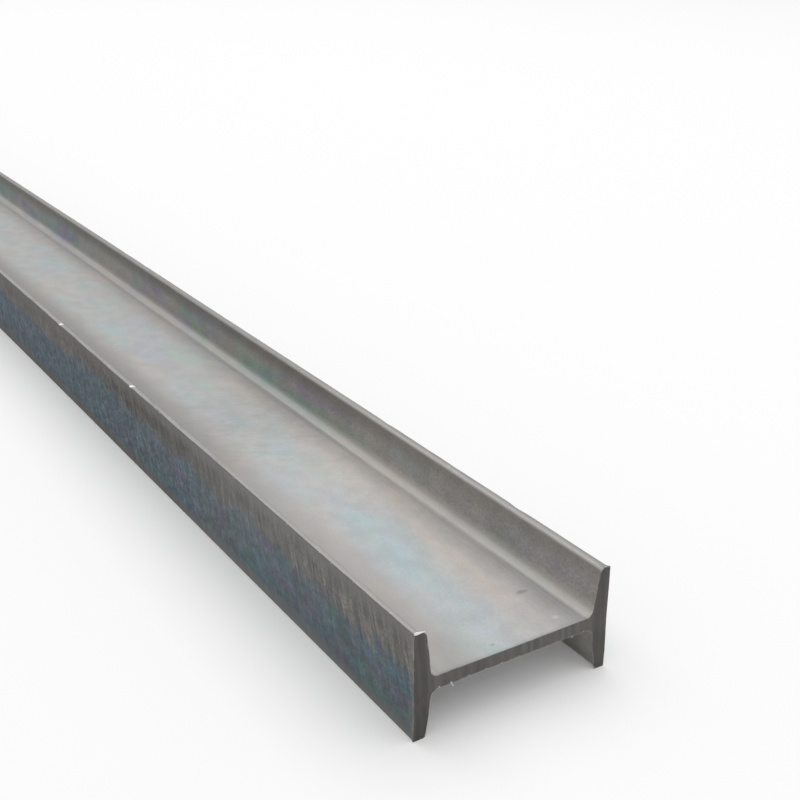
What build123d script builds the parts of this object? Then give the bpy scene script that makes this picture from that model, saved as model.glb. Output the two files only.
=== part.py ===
"""Hot-rolled steel I-beam: one length of stock with tapered flanges and square sawn ends.

The beam lies as it is stored, with its web level and both flanges upright on their edges.
+X runs along the length, +Y across the depth of the section and +Z up.
The origin is under the middle of the beam, on the plane that it rests on.
"""

import os
from typing import NamedTuple

from build123d import *

# Driving dimensions, in millimetres, with the letters that section tables use
LENGTH = 6000.0  # a stock length that such beams are sold in
DEPTH = 200.0  # h, over the outer faces of the two flanges
FLANGE_WIDTH = 102.0  # b, from edge to edge of a flange
WEB_THICKNESS = 9.0  # d
FLANGE_THICKNESS = 11.4  # t, measured halfway along the flange's overhang
FLANGE_SLOPE = 1 / 6  # how fast the inner face of a flange falls away towards its edge
ROOT_RADIUS = 9.0  # r, where a flange meets the web
TOE_RADIUS = 4.5  # r1, the inner corner of a flange's edge
OUTER_CORNER_RADIUS = 1.5  # the outer corner of a flange's edge, blunted in rolling
TOE_SHARE = 0.9  # the most of a thin flange's edge that the toe's rounding takes

# Sizes that follow from the driving dimensions
HALF_DEPTH = DEPTH / 2
HALF_FLANGE = FLANGE_WIDTH / 2
HALF_WEB = WEB_THICKNESS / 2
OVERHANG = HALF_FLANGE - HALF_WEB
TAPER = FLANGE_SLOPE * OVERHANG / 2
TOE_THICKNESS = FLANGE_THICKNESS - TAPER
ROOT_THICKNESS = FLANGE_THICKNESS + TAPER
TOE_ROOM = TOE_SHARE * (TOE_THICKNESS - OUTER_CORNER_RADIUS)


class Corner(NamedTuple):
    """One kind of corner in a quarter of the section, and the radius that the rolls leave on it."""

    across: float
    up: float
    radius: float


# One quarter of the section, from the web outwards
QUARTER = (
    Corner(HALF_DEPTH - ROOT_THICKNESS, HALF_WEB, ROOT_RADIUS),
    Corner(HALF_DEPTH - TOE_THICKNESS, HALF_FLANGE, min(TOE_RADIUS, TOE_ROOM)),
    Corner(HALF_DEPTH, HALF_FLANGE, OUTER_CORNER_RADIUS),
)


def outline_corners() -> list[Corner]:
    """Returns the corners of all four quarters, in order round the section."""
    corners = []
    for side, half in ((1, 1), (1, -1), (-1, -1), (-1, 1)):
        quarter = [Corner(side * c.across, half * c.up, c.radius) for c in QUARTER]
        corners += quarter if side == half else reversed(quarter)
    return corners


def rolled_section() -> Sketch:
    """Returns the section, drawn sharp and then rounded at its roots, toes and outer corners."""
    corners = outline_corners()
    section = make_face(Polyline(*[(c.across, c.up) for c in corners], close=True))
    for corner in corners:
        vertex = section.vertices().sort_by_distance((corner.across, corner.up, 0))[0]
        section = fillet(vertex, corner.radius)
    return section


def rolled_beam() -> Part:
    """Returns the whole beam, sawn square at both ends and resting on its flange edges."""
    section_plane = Plane(origin=(0, 0, HALF_FLANGE), x_dir=(0, 1, 0), z_dir=(1, 0, 0))
    return extrude(section_plane * rolled_section(), amount=LENGTH / 2, both=True)


os.makedirs("parts", exist_ok=True)
export_step(rolled_beam(), "parts/i_beam.step")
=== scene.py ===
"""The looks of a hot-rolled steel I-beam: its mill-scale skin, its sawn ends and the burrs left there.

Everything is in metres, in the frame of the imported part: +X along the length, towards the end that
the camera sees, +Y across the depth of the section and +Z up, square to the web.
"""

import logging
import math
from dataclasses import dataclass, field
from enum import Enum

import bpy
import numpy as np
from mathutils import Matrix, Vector
from mathutils.geometry import delaunay_2d_cdt


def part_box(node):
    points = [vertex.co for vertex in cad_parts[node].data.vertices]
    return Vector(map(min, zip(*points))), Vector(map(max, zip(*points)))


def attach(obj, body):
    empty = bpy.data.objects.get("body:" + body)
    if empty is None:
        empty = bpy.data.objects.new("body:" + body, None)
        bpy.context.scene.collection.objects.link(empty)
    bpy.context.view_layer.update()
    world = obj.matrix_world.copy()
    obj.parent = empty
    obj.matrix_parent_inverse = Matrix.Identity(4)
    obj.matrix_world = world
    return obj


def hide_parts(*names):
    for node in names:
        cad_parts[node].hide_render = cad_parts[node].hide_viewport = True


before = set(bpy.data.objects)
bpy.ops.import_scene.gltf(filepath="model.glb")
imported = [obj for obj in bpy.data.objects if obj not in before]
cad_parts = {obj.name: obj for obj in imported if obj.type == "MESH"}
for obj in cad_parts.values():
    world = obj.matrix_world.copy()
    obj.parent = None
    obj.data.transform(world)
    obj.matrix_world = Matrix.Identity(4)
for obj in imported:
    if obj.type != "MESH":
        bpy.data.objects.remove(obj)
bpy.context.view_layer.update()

BEAM_NODE = "i_beam"
BODY = "root"
BAKE_MAP = "OFBake"
MM = 0.001

log = logging.getLogger("i_beam")

Colour = tuple[float, float, float]
Point = tuple[float, float, float]


def linear(colour: Colour) -> tuple[float, float, float, float]:
    """Turns a colour as a screen shows it into the scene's linear values.

    Args:
        colour: Red, green and blue from 0 to 1, as a picture would hold them.

    Returns:
        The linear colour with an alpha of 1.
    """
    low = [c / 12.92 if c <= 0.04045 else ((c + 0.055) / 1.055) ** 2.4 for c in colour]
    return (low[0], low[1], low[2], 1.0)


def put_in_scene(name: str, data: bpy.types.ID) -> bpy.types.Object:
    """Puts a mesh, a lamp or a camera into the scene.

    Args:
        name: The new object's name.
        data: What the object shows.

    Returns:
        The object.
    """
    placed = bpy.data.objects.new(name, data)
    bpy.context.scene.collection.objects.link(placed)
    return placed


class Kind(Enum):
    """The kinds of corner round the section."""

    ROOT = "root"
    TOE = "toe"
    OUTER = "outer"


class BeamEnd(Enum):
    """The two sawn ends, as the way that each one faces along the length."""

    NEAR = 1
    FAR = -1


class Mask(Enum):
    """The masks that the skin's points carry for its finishes, and for the painted highlight along the toes.
    """

    WEB = "web"
    OUTER = "outer"
    EDGE = "edge"
    TOE = "toe"
    RIM = "rim"


@dataclass(frozen=True)
class Corner:
    """A corner of the section before it is rounded.

    Attributes:
        across: Its place along +Y from the middle of the section.
        up: Its place along +Z from the middle of the web.
        radius: The radius that the rolls leave on it.
        kind: Which kind of corner it is.
    """

    across: float
    up: float
    radius: float
    kind: Kind


@dataclass
class Outline:
    """The section's rounded outline, as points in order round it.

    Attributes:
        points: Places across and up from the middle of the web, one row each.
        normals: Outward directions at those points.
        web: 1 on the web's faces, falling to 0 low on the roots.
        outer: 1 on the outer faces of the flanges, 0 elsewhere.
        edge: 1 on the flanges' rounded edges, fading away on the faces beside them.
        toe: 1 along the inner half of the toes, where a painted highlight stands for the light they catch, 0
            elsewhere.
    """

    points: np.ndarray
    normals: np.ndarray
    web: np.ndarray
    outer: np.ndarray
    edge: np.ndarray
    toe: np.ndarray


@dataclass(frozen=True)
class RolledSection:
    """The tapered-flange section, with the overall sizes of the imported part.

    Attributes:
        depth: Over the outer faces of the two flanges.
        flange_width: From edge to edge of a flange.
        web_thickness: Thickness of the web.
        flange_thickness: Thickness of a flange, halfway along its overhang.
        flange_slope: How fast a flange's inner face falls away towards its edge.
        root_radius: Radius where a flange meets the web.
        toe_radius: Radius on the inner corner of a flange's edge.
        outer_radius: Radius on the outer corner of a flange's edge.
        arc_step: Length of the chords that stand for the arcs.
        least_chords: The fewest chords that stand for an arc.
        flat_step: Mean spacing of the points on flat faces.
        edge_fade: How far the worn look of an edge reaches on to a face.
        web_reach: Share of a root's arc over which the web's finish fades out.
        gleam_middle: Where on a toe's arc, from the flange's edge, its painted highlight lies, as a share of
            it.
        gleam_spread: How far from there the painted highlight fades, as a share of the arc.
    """

    depth: float
    flange_width: float
    web_thickness: float = 9.0 * MM
    flange_thickness: float = 11.4 * MM
    flange_slope: float = 1 / 6
    root_radius: float = 9.0 * MM
    toe_radius: float = 4.5 * MM
    outer_radius: float = 1.5 * MM
    arc_step: float = 1.3 * MM
    least_chords: int = 5
    flat_step: float = 24.0 * MM
    edge_fade: float = 2.0 * MM
    web_reach: float = 0.70
    gleam_middle: float = 0.60
    gleam_spread: float = 0.30

    @property
    def half_depth(self) -> float:
        """Half of the section's depth."""
        return self.depth / 2

    @property
    def half_flange(self) -> float:
        """Half of a flange's width."""
        return self.flange_width / 2

    @property
    def half_web(self) -> float:
        """Half of the web's thickness."""
        return self.web_thickness / 2

    @property
    def taper(self) -> float:
        """How much the flange gains from the middle of its overhang to the web."""
        return self.flange_slope * (self.half_flange - self.half_web) / 2

    @property
    def root_across(self) -> float:
        """Where a flange's inner face would meet the web if its root were sharp."""
        return self.half_depth - self.flange_thickness - self.taper

    @property
    def toe_across(self) -> float:
        """Where a flange's inner face would meet its edge if the toe were sharp."""
        return self.half_depth - self.flange_thickness + self.taper

    @property
    def web_flat(self) -> float:
        """Half of the flat width that the roots leave on the web."""
        half_angle = (math.pi / 2 + math.atan(self.flange_slope)) / 2
        return self.root_across - self.root_radius / math.tan(half_angle)

    def corners(self) -> list[Corner]:
        """Lists the corners of all four quarters, in order round the section.

        Returns:
            Twelve corners, anticlockwise as seen from the near end.
        """
        quarter = (
            (self.root_across, self.half_web, self.root_radius, Kind.ROOT),
            (self.toe_across, self.half_flange, self.toe_radius, Kind.TOE),
            (self.half_depth, self.half_flange, self.outer_radius, Kind.OUTER),
        )
        found = []
        for side, half in ((1, -1), (1, 1), (-1, 1), (-1, -1)):
            made = [Corner(side * y, half * z, r, kind) for y, z, r, kind in quarter]
            found += made if side != half else made[::-1]
        return found

    def edge_places(self, upper: bool) -> list[tuple[float, float]]:
        """Lists the rounded corners of the flange edges, where knocks land.

        Args:
            upper: True for the two upper edges, False for the lower ones.

        Returns:
            Places across and up from the middle of the web.
        """
        sign = 1 if upper else -1
        return [
            (c.across, c.up)
            for c in self.corners()
            if c.kind is not Kind.ROOT and c.up * sign > 0
        ]

    def outline(self) -> Outline:
        """Rounds the corners and fills the flats between them with points.

        Returns:
            The outline with its masks for the finishes.
        """
        corners = self.corners()
        arcs = [self._arc(corners[i - 1], c, corners[(i + 1) % len(corners)]) for i, c in enumerate(corners)]
        points, normals, web, outer, toe = [], [], [], [], []
        for i, corner in enumerate(corners):
            following = corners[(i + 1) % len(corners)]
            arc_points, arc_normals = arcs[i]
            share = np.linspace(0, 1, len(arc_points))
            from_web = share if following.kind is Kind.ROOT else 1 - share
            low_root = np.clip(1 - (1 - from_web) / self.web_reach, 0, 1)
            points.append(arc_points)
            normals.append(arc_normals)
            web.append(low_root if corner.kind is Kind.ROOT else np.zeros(len(share)))
            from_flat = 1 - share if following.kind is Kind.OUTER else share
            # The toe mask carries a painted highlight: a bell across the inner half of each toe's arc.
            toe_highlight = np.exp(-(((from_flat - self.gleam_middle) / self.gleam_spread) ** 2))
            toe.append(toe_highlight if corner.kind is Kind.TOE else np.zeros(len(share)))
            from_outer = 1 - share if following.kind is Kind.TOE else share
            outer.append(from_outer if corner.kind is Kind.OUTER else np.zeros(len(share)))
            start, end = arc_points[-1], arcs[(i + 1) % len(corners)][0][0]
            flat = self._flat(start, end)
            points.append(flat)
            normals.append(np.repeat(arc_normals[-1:], len(flat), axis=0))
            on_web = corner.kind is Kind.ROOT and following.kind is Kind.ROOT
            on_outer = corner.kind is Kind.OUTER and following.kind is Kind.OUTER
            web.append(np.full(len(flat), float(on_web)))
            outer.append(np.full(len(flat), float(on_outer)))
            toe.append(np.zeros(len(flat)))
        places = np.concatenate(points)
        return Outline(
            places,
            np.concatenate(normals),
            np.concatenate(web),
            np.concatenate(outer),
            self._edge_mask(places),
            np.concatenate(toe),
        )

    def _arc(self, before: Corner, corner: Corner, after: Corner) -> tuple[np.ndarray, np.ndarray]:
        """Rounds one corner.

        Args:
            before: The corner before it.
            corner: The corner itself.
            after: The corner after it.

        Returns:
            The arc's points, both tangent points included, and their outward normals.
        """
        place = np.array([corner.across, corner.up])
        back = np.array([before.across, before.up]) - place
        onward = np.array([after.across, after.up]) - place
        back /= np.linalg.norm(back)
        onward /= np.linalg.norm(onward)
        half_angle = math.acos(float(back @ onward)) / 2
        bisector = (back + onward) / np.linalg.norm(back + onward)
        centre = place + bisector * corner.radius / math.sin(half_angle)
        start = place + back * corner.radius / math.tan(half_angle) - centre
        sweep = math.pi - 2 * half_angle
        hollow = corner.kind is Kind.ROOT
        turn = -1 if hollow else 1
        count = max(self.least_chords, math.ceil(sweep * corner.radius / self.arc_step))
        first = math.atan2(start[1], start[0])
        angles = first + turn * np.linspace(0, sweep, count + 1)
        rays = np.stack([np.cos(angles), np.sin(angles)], axis=1)
        return centre + rays * corner.radius, -rays if hollow else rays

    def _flat(self, start: np.ndarray, end: np.ndarray) -> np.ndarray:
        """Spaces points along a flat, closer towards both of its ends.

        Args:
            start: Where the flat starts.
            end: Where it ends.

        Returns:
            The points between the two, without them.
        """
        count = max(2, round(float(np.linalg.norm(end - start)) / self.flat_step))
        share = (1 - np.cos(np.linspace(0, math.pi, count + 1)[1:-1])) / 2
        return start + share[:, None] * (end - start)

    def _edge_mask(self, places: np.ndarray) -> np.ndarray:
        """Works out how near each point is to a flange's rounded edge.

        Args:
            places: The outline's points.

        Returns:
            1 on the edge itself, fading over edge_fade down the faces.
        """
        below = self.half_flange - np.abs(places[:, 1])
        return np.exp(-((np.maximum(below - self.outer_radius, 0) / self.edge_fade) ** 2))


@dataclass
class Wobble:
    """A smooth random line, a sum of waves, for what rolling leaves a little uneven.

    Attributes:
        rng: Where its random phases come from.
        height: Its greatest departure from straight.
        lengths: Wavelengths of the waves, each half as high as the one before.
    """

    rng: np.random.Generator
    height: float
    lengths: tuple[float, ...]
    _phases: np.ndarray = field(init=False)

    def __post_init__(self) -> None:
        """Draws the phases."""
        self._phases = self.rng.uniform(0, 2 * math.pi, len(self.lengths))

    def at(self, along: np.ndarray) -> np.ndarray:
        """Gives the line's departure from straight.

        Args:
            along: Places along the line.

        Returns:
            The departure at each place.
        """
        weights = 0.5 ** np.arange(len(self.lengths))
        waves = [
            w * np.sin(2 * math.pi * along / length + phase)
            for w, length, phase in zip(weights, self.lengths, self._phases)
        ]
        return self.height * np.sum(waves, axis=0) / weights.sum()


@dataclass
class SawCut:
    """How the hot saw left an end: a little out of square, stepped by its teeth, with a raised lip.

    Attributes:
        end: Which end of the beam it is.
        rng: Where its unevenness comes from.
        slope: How fast the cut runs out of square, across and up.
        step: Height of the broad steps across the cut face.
        step_lengths: Wavelengths of those steps.
        lip: Usual height of the lip that the saw pushed out round the outline.
        lip_length: How far the lip reaches back along the beam.
        lip_steepness: How sharply it rises towards the cut.
        rim_lengths: Wavelengths of its ragged rim.
        raggedness: How far the rim's height strays, as a share of it.
        all_round: Share of the height that is there all round.
        leaving: Share that comes to it where the saw left the steel.
        tip_growth: How much higher the lip is at a flange's tip than at its root.
        outer_loss: How much lower it is on the outer faces.
        drag: The way that the saw dragged the steel, across and up.
        pivot: The saw's axle, across and up from the middle of the web.
    """

    end: BeamEnd
    rng: np.random.Generator
    slope: float = 0.00125
    step: float = 0.12 * MM
    step_lengths: tuple[float, ...] = (31 * MM, 13 * MM, 7 * MM)
    lip: float = 2.3 * MM
    lip_length: float = 7.0 * MM
    lip_steepness: int = 3
    rim_lengths: tuple[float, ...] = (47 * MM, 19 * MM, 8 * MM, 3.7 * MM)
    raggedness: float = 0.35
    all_round: float = 0.70
    leaving: float = 0.40
    tip_growth: float = 0.65
    outer_loss: float = 0.6
    drag: tuple[float, float] = (0.75, -0.66)
    pivot: tuple[float, float] = (-0.95, -0.06)
    _teeth: Wobble = field(init=False)
    _rim: Wobble = field(init=False)

    def __post_init__(self) -> None:
        """Draws the lines that the teeth and the lip follow."""
        self._teeth = Wobble(self.rng, self.step, self.step_lengths)
        self._rim = Wobble(self.rng, 1.0, self.rim_lengths)

    def depth_at(self, places: np.ndarray) -> np.ndarray:
        """Gives how far the cut face stands out of its true plane.

        Args:
            places: Points across and up on the face.

        Returns:
            The departure along the beam, positive outwards.
        """
        reach = np.hypot(places[:, 0] - self.pivot[0], places[:, 1] - self.pivot[1])
        return self.slope * (places[:, 0] + places[:, 1]) + self._teeth.at(reach)

    def lip_at(self, girth: np.ndarray, shape: Outline) -> np.ndarray:
        """Gives the lip's height round the outline, most where the saw left the steel.

        Args:
            girth: Distance round the outline to each point.
            shape: The outline.

        Returns:
            The lip's height at each point.
        """
        ragged = 1.0 + self.raggedness * self._rim.at(girth)
        pushed = self.all_round + self.leaving * shape.normals @ np.array(self.drag)
        reach = np.abs(shape.points[:, 1]) / np.abs(shape.points[:, 1]).max()
        growth = 1 + self.tip_growth * reach * np.abs(shape.normals[:, 0])
        return self.lip * ragged * pushed * growth * (1 - self.outer_loss * shape.outer)


@dataclass
class BeamSkin:
    """The whole beam as it looks: the rolled section with its small unevenness and its sawn ends.

    Attributes:
        section: The section that was rolled.
        half_length: Half of the beam's length.
        rest_height: Height of the middle of the web above the floor.
        seed: Seed of everything uneven.
        fine_step: Spacing of the rings at the sawn ends.
        step_growth: How much the spacing grows for each metre from an end.
        coarse_step: The widest spacing, along the middle.
        lip_steps: Places of the rings on a saw's lip, as shares of its length.
        edge_wander: How far the flange edges stray up and down.
        face_wander: How far the flanges lean in and out.
        wander_lengths: Wavelengths of both.
        edge_ripple: Height of the fine ripple along the flange edges.
        ripple_lengths: Its wavelengths.
        knocks: How many small dents the edges have.
        upper_knocks: Share of the dents that the upper edges have.
        knock_spread: How evenly they lie along the beam. Below 1, they gather towards its ends.
        knock_length: Shortest and longest reach of a dent along the beam.
        knock_depth: Least and greatest depth of a dent.
        knock_reach: How far a dent reaches round the edge.
        cap_grid: Spacing of the points on a cut face.
        cap_jitter: How far they stray from their grid, as a share of the spacing.
        cap_clear: How far they keep from the outline.
        name: Name of the piece.
        rng: Where everything uneven comes from.
        shape: The section's outline.
        cuts: The saw cuts of both ends.
        girth: Distance round the outline to each of its points.
        girth_length: Distance all the way round it.
    """

    section: RolledSection
    half_length: float
    rest_height: float
    seed: int = 20
    fine_step: float = 3.5 * MM
    step_growth: float = 5.0 * MM
    coarse_step: float = 12.0 * MM
    lip_steps: tuple[float, ...] = (0.0, 0.10, 0.21, 0.34, 0.50, 0.72, 1.0)
    edge_wander: float = 0.30 * MM
    face_wander: float = 0.30 * MM
    wander_lengths: tuple[float, ...] = (1.7, 0.72, 0.31)
    edge_ripple: float = 0.10 * MM
    ripple_lengths: tuple[float, ...] = (83 * MM, 47 * MM, 29 * MM)
    knocks: int = 110
    upper_knocks: float = 0.75
    knock_spread: float = 0.8
    knock_length: tuple[float, float] = (3 * MM, 9 * MM)
    knock_depth: tuple[float, float] = (0.15 * MM, 0.6 * MM)
    knock_reach: float = 3.0 * MM
    cap_grid: float = 3.0 * MM
    cap_jitter: float = 0.3
    cap_clear: float = 1.2 * MM
    name: str = "beam_skin"
    rng: np.random.Generator = field(init=False)
    shape: Outline = field(init=False)
    cuts: dict[BeamEnd, SawCut] = field(init=False)
    girth: np.ndarray = field(init=False)
    girth_length: float = field(init=False)

    def __post_init__(self) -> None:
        """Draws the outline and prepares the two saw cuts."""
        self.rng = np.random.default_rng(self.seed)
        self.shape = self.section.outline()
        self.cuts = {end: SawCut(end, self.rng) for end in BeamEnd}
        steps = np.linalg.norm(np.diff(self.shape.points, axis=0, append=self.shape.points[:1]), axis=1)
        self.girth = np.concatenate([[0], np.cumsum(steps)[:-1]])
        self.girth_length = float(steps.sum())

    def stations(self) -> np.ndarray:
        """Lists the places of the rings along the beam, close together at the sawn ends.

        Returns:
            Distances along +X, from the far end to the near one.
        """
        inward = list(np.array(self.lip_steps) * self.cuts[BeamEnd.NEAR].lip_length)
        while inward[-1] < self.half_length:
            step = self.fine_step + self.step_growth * inward[-1]
            inward.append(inward[-1] + min(step, self.coarse_step))
        half = np.array([d for d in inward if d < self.half_length - self.coarse_step / 2])
        return np.concatenate([half - self.half_length, (self.half_length - half)[::-1]])

    def rings(self) -> np.ndarray:
        """Works out every ring of the skin.

        Returns:
            Places of all points, as rings by points by three.
        """
        along = self.stations()
        shape = self.shape
        spread = np.zeros((len(along), len(shape.points)))
        places = np.repeat(shape.points[None], len(along), axis=0)
        self._wander(along, places)
        self._dent(along, spread)
        offsets = self._raise_lips(along, spread)
        places += spread[:, :, None] * shape.normals[None]
        heights = np.maximum(places[:, :, 1] + self.rest_height, 0.0)
        return np.stack([along[:, None] + offsets, places[:, :, 0], heights], axis=2)

    def _wander(self, along: np.ndarray, places: np.ndarray) -> None:
        """Lets the flanges stray a little from straight, most at their edges.

        Args:
            along: Places of the rings.
            places: Points of every ring, moved in place.
        """
        section = self.section
        overhang = section.half_flange - section.half_web
        reach = np.clip((np.abs(self.shape.points[:, 1]) - section.half_web) / overhang, 0, 1) ** 2
        for side in (-1, 1):
            for half in (-1, 1):
                points = self.shape.points
                weight = reach * (points[:, 0] * side > 0) * (points[:, 1] * half > 0)
                up = Wobble(self.rng, self.edge_wander, self.wander_lengths).at(along)
                across = Wobble(self.rng, self.face_wander, self.wander_lengths).at(along)
                ripple = Wobble(self.rng, self.edge_ripple, self.ripple_lengths).at(along)
                places[:, :, 1] += up[:, None] * weight[None]
                places[:, :, 1] += ripple[:, None] * (weight * self.shape.edge)[None]
                places[:, :, 0] += across[:, None] * weight[None]

    def _dent(self, along: np.ndarray, spread: np.ndarray) -> None:
        """Knocks small dents into the flange edges, more of them on the upper ones.

        Args:
            along: Places of the rings.
            spread: Outward moves of every point, changed in place.
        """
        for _ in range(self.knocks):
            edges = self.section.edge_places(upper=self.rng.random() < self.upper_knocks)
            corner = np.array(edges[self.rng.integers(len(edges))])
            middle = self.half_length * (1 - 2 * self.rng.beta(self.knock_spread, self.knock_spread))
            length = self.rng.uniform(*self.knock_length)
            depth = self.rng.uniform(*self.knock_depth)
            away = np.linalg.norm(self.shape.points - corner, axis=1)
            near = np.exp(-((away / self.knock_reach) ** 2))
            spread -= depth * np.exp(-(((along - middle) / length) ** 2))[:, None] * near[None]

    def _raise_lips(self, along: np.ndarray, spread: np.ndarray) -> np.ndarray:
        """Raises the lip at both sawn ends and leans the cut faces.

        Args:
            along: Places of the rings.
            spread: Outward moves of every point, changed in place.

        Returns:
            Moves along the beam for every point.
        """
        offsets = np.zeros_like(spread)
        for end, cut in self.cuts.items():
            inward = self.half_length - end.value * along
            share = np.clip(1 - inward / cut.lip_length, 0, 1) ** cut.lip_steepness
            spread += share[:, None] * cut.lip_at(self.girth, self.shape)[None]
            offsets += end.value * share[:, None] * cut.depth_at(self.shape.points)[None]
        return offsets

    def cap(self, ring: np.ndarray, first: int, start: int,
            cut: SawCut) -> tuple[np.ndarray, list[tuple[int, ...]]]:
        """Closes one end with a face that has points inside it.

        Args:
            ring: The end's outermost ring.
            first: Index of that ring's first vertex.
            start: Index that the first point inside will get.
            cut: The saw cut of this end.

        Returns:
            Points inside the face, and its triangles as vertex indices.
        """
        inside_rim = 1
        tolerance = 1e-9
        section = self.section
        across = np.arange(-section.half_depth, section.half_depth, self.cap_grid)
        up = np.arange(-section.half_flange, section.half_flange, self.cap_grid)
        inside = np.stack(np.meshgrid(across, up), axis=2).reshape(-1, 2)
        inside += self.rng.uniform(-self.cap_jitter, self.cap_jitter, inside.shape) * self.cap_grid
        inside = inside[self._well_inside(inside, self.cap_clear)]
        outline = ring[:, 1:] - np.array([0, self.rest_height])
        flat = [Vector(p) for p in np.concatenate([outline, inside])]
        rim = [(i, (i + 1) % len(outline)) for i in range(len(outline))]
        _, _, triangles, sources, _, _ = delaunay_2d_cdt(flat, rim, [], inside_rim, tolerance)
        index = [s[0] for s in sources]
        moved = [first + i if i < len(outline) else start + i - len(outline) for i in index]
        faces = [tuple(moved[i] for i in triangle) for triangle in triangles]
        if cut.end is BeamEnd.FAR:
            faces = [face[::-1] for face in faces]
        depth = cut.end.value * (self.half_length + cut.depth_at(inside))
        return np.column_stack([depth, inside[:, 0], inside[:, 1] + self.rest_height]), faces

    def _well_inside(self, places: np.ndarray, clear: float) -> np.ndarray:
        """Tells which points lie inside the section, clear of its outline.

        Args:
            places: Points across and up.
            clear: How far from the outline they have to be.

        Returns:
            True for each point that does.
        """
        section = self.section
        across, up = np.abs(places[:, 0]), np.abs(places[:, 1])
        inner_face = section.root_across + section.flange_slope * (up - section.half_web)
        in_web = (up < section.half_web - clear) & (across < section.half_depth - clear)
        in_flange = (across > inner_face + clear) & (across < section.half_depth - clear)
        nearest = np.min(np.linalg.norm(places[:, None] - self.shape.points[None], axis=2), axis=1)
        return (in_web | (in_flange & (up < section.half_flange - clear))) & (nearest > clear)

    def build(self) -> bpy.types.Object:
        """Makes the closed mesh with its masks and its map.

        Returns:
            The skin, riding on the part's body in place of the plain solid.
        """
        rings = self.rings()
        count, around = rings.shape[:2]
        points = [rings.reshape(-1, 3)]
        total = count * around
        faces = []
        for i in range(count - 1):
            low, high = i * around, (i + 1) * around
            faces += [
                (low + j, high + j, high + (j + 1) % around, low + (j + 1) % around)[::-1]
                for j in range(around)
            ]
        side_faces = len(faces)
        for end, ring in ((BeamEnd.FAR, 0), (BeamEnd.NEAR, count - 1)):
            inside, triangles = self.cap(rings[ring], ring * around, total, self.cuts[end])
            points.append(inside)
            total += len(inside)
            faces += triangles
        mesh = bpy.data.meshes.new(self.name)
        mesh.from_pydata(np.concatenate(points).tolist(), [], faces)
        self._mark(mesh, count, total)
        self._shade(mesh, side_faces)
        self._unroll(mesh, count, side_faces)
        skin = put_in_scene(self.name, mesh)
        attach(skin, BODY)
        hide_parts(BEAM_NODE)
        return skin

    def _mark(self, mesh: bpy.types.Mesh, count: int, total: int) -> None:
        """Writes the outline's masks to the mesh.

        Args:
            mesh: The skin's mesh.
            count: How many rings it has.
            total: How many vertices it has, those of the cut faces included.
        """
        shape = self.shape
        around = len(shape.points)
        rolled = {Mask.WEB: shape.web, Mask.OUTER: shape.outer, Mask.EDGE: shape.edge, Mask.TOE: shape.toe}
        for kind in Mask:
            spread = np.zeros(total, np.float32)
            if kind is Mask.RIM:
                spread[:around] = 1
                spread[(count - 1) * around : count * around] = 1
            else:
                spread[: count * around] = np.tile(rolled[kind], count)
            mesh.attributes.new(kind.value, "FLOAT", "POINT").data.foreach_set("value", spread)

    def _shade(self, mesh: bpy.types.Mesh, side_faces: int) -> None:
        """Gives the rolled faces and the cut faces their slots, with a sharp rim between them.

        Args:
            mesh: The skin's mesh.
            side_faces: How many of its faces, from the first, are rolled ones.
        """
        slots = np.zeros(len(mesh.polygons), np.int32)
        slots[side_faces:] = 1
        mesh.polygons.foreach_set("material_index", slots)
        mesh.polygons.foreach_set("use_smooth", np.ones(len(slots), bool))
        mesh.update()
        used = {}
        for polygon in mesh.polygons:
            for key in polygon.edge_keys:
                used.setdefault(key, set()).add(polygon.material_index)
        rim = [len(used[tuple(sorted(edge.vertices))]) > 1 for edge in mesh.edges]
        sharp = mesh.attributes.new("sharp_edge", "BOOLEAN", "EDGE")
        sharp.data.foreach_set("value", np.array(rim, bool))

    def _unroll(self, mesh: bpy.types.Mesh, count: int, side_faces: int) -> None:
        """Maps the skin flat: the unrolled sides cut into strips that lie side by side, the cut faces above.

        Args:
            mesh: The skin's mesh.
            count: How many rings it has.
            side_faces: How many of its faces, from the first, are rolled ones.
        """
        strips = 3
        gap = 24 * MM
        cap_scale = 2.0
        around = len(self.shape.points)
        corners = np.empty(len(mesh.loops), np.int64)
        mesh.loops.foreach_get("vertex_index", corners)
        places = np.empty(3 * len(mesh.vertices))
        mesh.vertices.foreach_get("co", places)
        spots = places.reshape(-1, 3)[corners]
        side = np.arange(len(corners)) < 4 * side_faces
        face = np.arange(len(corners)) // 4
        ring = np.minimum(face // around, count - 2)
        seam = (face % around == around - 1) & (corners % around == 0)
        girth = np.where(seam, self.girth_length, self.girth[corners % around])
        strip_length = 2 * self.half_length / strips
        starts = self.stations()[ring] + self.half_length
        strip = np.clip(starts // strip_length, 0, strips - 1)
        along = spots[:, 0] + self.half_length - strip * strip_length
        flat = np.stack([gap + strip * (self.girth_length + gap) + girth, gap + along], axis=1)
        near = spots[:, 0] > 0
        rightward = np.where(near, spots[:, 1], -spots[:, 1])
        cap_across = gap + (rightward + self.section.half_depth) * cap_scale
        cap_across += near * (self.section.depth * cap_scale + gap)
        cap_up = 3 * gap + strip_length + spots[:, 2] * cap_scale
        flat[~side] = np.stack([cap_across, cap_up], axis=1)[~side]
        whole = max(gap + strips * (self.girth_length + gap), float(flat.max()) + gap)
        layer = mesh.uv_layers.new(name=BAKE_MAP)
        layer.data.foreach_set("uv", (flat / whole).astype(np.float32).ravel())

    def dress(self, skin: bpy.types.Object, rolled: bpy.types.Material, sawn: bpy.types.Material) -> None:
        """Puts the finishes on the skin.

        Args:
            skin: The skin.
            rolled: Finish of the rolled faces.
            sawn: Finish of the cut faces.
        """
        skin.data.materials.append(rolled)
        skin.data.materials.append(sawn)


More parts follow.
